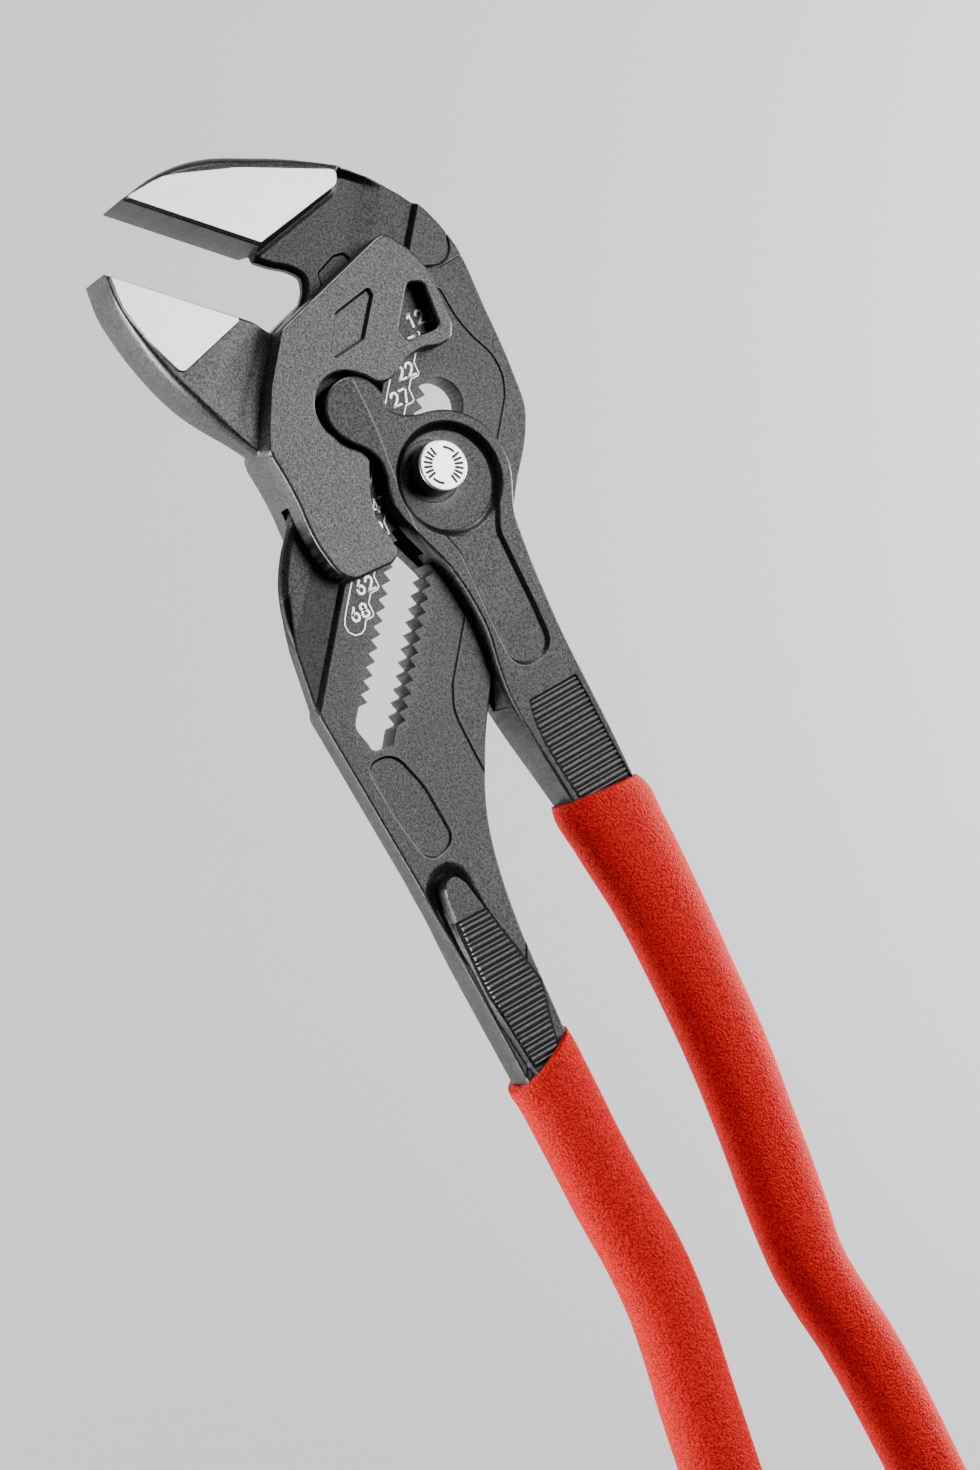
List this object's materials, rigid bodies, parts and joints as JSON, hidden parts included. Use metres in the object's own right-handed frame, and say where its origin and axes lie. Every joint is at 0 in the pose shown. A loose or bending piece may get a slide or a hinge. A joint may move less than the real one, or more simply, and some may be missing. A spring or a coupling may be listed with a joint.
{
  "type": "parallel jaw tongue and groove pliers",
  "caption": "Adjustable parallel-jaw pliers wrench with smooth flat jaws, a toothed slot, a push-button pivot bolt and dipped red grips.",
  "frame": {"origin": "the pivot bolt's axis in the rear plane, on the face of the rear cover", "axes": "+Z out of the front, along the bolt; +X from the jaws to the handles, along the tool; +Y across, towards the moving lever's side"},
  "size_m": [0.2999, 0.0694, 0.0168],
  "materials": {
    "forged_steel": "dark phosphated, finely grained",
    "polished_steel": "ground and polished",
    "bolt_steel": "turned and plated",
    "spring_steel": "drawn wire",
    "button_face": "satin white with dark marks",
    "mark_white": "flat printed marks",
    "grip_plastic": "dipped, with a fine grain"
  },
  "bodies": {
    "fixed_side": {"fixed_lever": "forged_steel", "fixed_grip": "grip_plastic"},
    "carriage": {"pivot_bolt": "bolt_steel", "bolt_cover": "forged_steel", "retaining_ring": "spring_steel", "spring_seat": "spring_steel", "button_spring": "spring_steel"},
    "lever": {"moving_lever": "forged_steel", "moving_grip": "grip_plastic"},
    "jaw": {"sliding_jaw": "forged_steel"},
    "button": {"push_button": "button_face"}
  },
  "joints": [
    {"name": "adjust_slide", "type": "slide", "parent": "fixed_side", "child": "carriage", "axis": [0.788, -0.6157, 0], "range_m": [-0.012, 0.014]},
    {"name": "squeeze", "type": "hinge", "parent": "carriage", "child": "lever", "pos_m": [0, 0, 0], "axis": [0, 0, 1], "range_deg": [-2, 15]},
    {"name": "jaw_slide", "type": "slide", "parent": "carriage", "child": "jaw", "axis": [0.788, -0.6157, 0], "range_m": [-0.0007, 0.0046]},
    {"name": "button_press", "type": "slide", "parent": "carriage", "child": "button", "axis": [0, 0, -1], "range_m": [0, 0.0016], "stiffness_N_per_m": 600, "springref_m": -0.001, "deforming": ["button_spring"]}
  ],
  "couplings": [
    {"joint": "jaw_slide", "follows": "squeeze", "m_per_rad": 0.01715}
  ]
}
